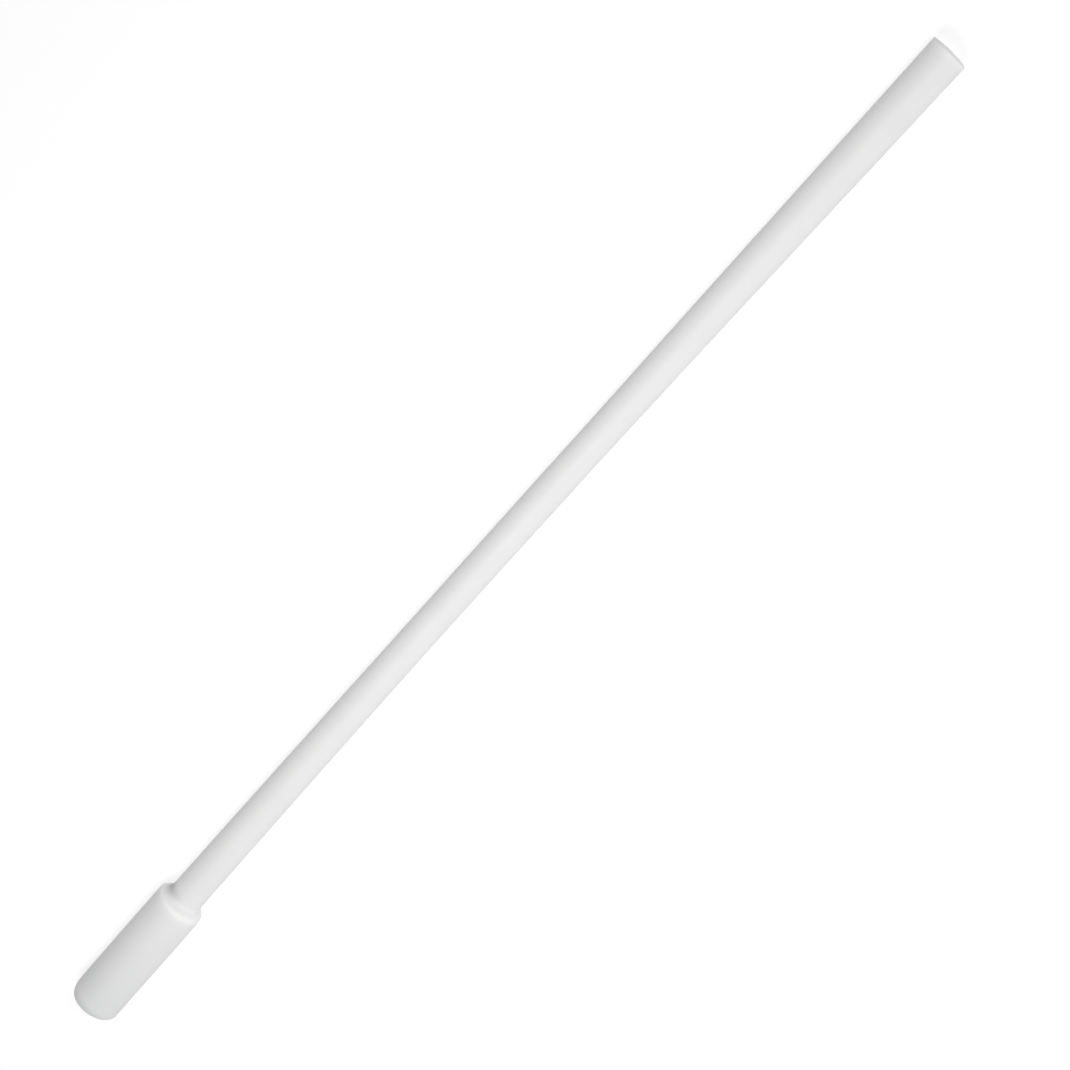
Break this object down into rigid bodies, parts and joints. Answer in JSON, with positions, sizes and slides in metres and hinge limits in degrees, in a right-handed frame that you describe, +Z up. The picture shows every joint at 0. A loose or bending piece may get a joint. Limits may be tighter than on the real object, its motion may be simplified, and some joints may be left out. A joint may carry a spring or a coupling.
{
  "type": "magnetic stir bar retriever",
  "caption": "Long slim white PTFE-covered rod with a thicker round magnetic head, a sloped shoulder and closed flat ends, for lifting stir bars out of vessels.",
  "frame": {"origin": "centre of the flat tip face of the magnetic head", "axes": "+X along the rod from the tip face to the tail face, +Z up with the rod lying level; the piece is round about X"},
  "size_m": [0.3, 0.0126, 0.0126],
  "materials": {
    "ptfe_skin": "satin white fluoropolymer, faintly waxy, with a fine drawn grain along the rod",
    "ptfe_plug": "turned white fluoropolymer, fused at its edge",
    "alnico": "ground cast magnet alloy, dull grey",
    "seat_steel": "turned mild steel",
    "core_steel": "drawn stainless bar"
  },
  "bodies": {
    "root": {"jacket": "ptfe_skin", "tip_plug": "ptfe_plug", "tail_plug": "ptfe_plug", "magnet": "alnico", "magnet_seat": "seat_steel", "core_rod": "core_steel"}
  },
  "joints": []
}
